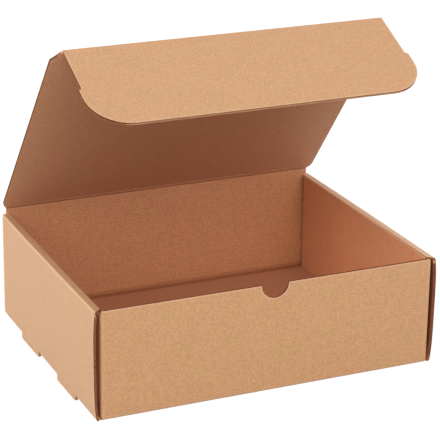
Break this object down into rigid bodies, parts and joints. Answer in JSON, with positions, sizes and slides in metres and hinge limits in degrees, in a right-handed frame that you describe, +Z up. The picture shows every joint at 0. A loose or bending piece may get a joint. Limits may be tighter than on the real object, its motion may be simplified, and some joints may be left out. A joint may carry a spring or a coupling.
{
  "type": "corrugated mailer box",
  "caption": "Folded corrugated mailer box with rolled double side walls, a hinged lid, a tuck flap and a thumb notch.",
  "frame": {"origin": "middle of the box's bottom outline, at the height of the feet's lower edges", "axes": "+Z up, the front wall faces -Y, the lid hinges at +Y, +X to the right seen from the front"},
  "size_m": [0.3328, 0.256, 0.3071],
  "materials": {
    "tray_board": "uncoated brown kraft liner, matte",
    "lid_board": "uncoated brown kraft liner, matte",
    "flap_board": "uncoated brown kraft liner, matte"
  },
  "bodies": {
    "tray": {"tray": "tray_board"},
    "lid": {"lid": "lid_board"},
    "tuck_flap": {"tuck_flap": "flap_board"}
  },
  "joints": [
    {"name": "lid_hinge", "type": "hinge", "parent": "tray", "child": "lid", "pos_m": [0, 0.12675, 0.1133], "axis": [-1, 0, 0], "range_deg": [-52.7, 98.5]},
    {"name": "tuck_flap_hinge", "type": "hinge", "parent": "lid", "child": "tuck_flap", "pos_m": [0, -0.02639, 0.30582], "axis": [1, 0, 0], "range_deg": [-76, 41]}
  ],
  "couplings": [
    {"joint": "tuck_flap_hinge", "follows": "lid_hinge", "ratio": -0.76}
  ]
}
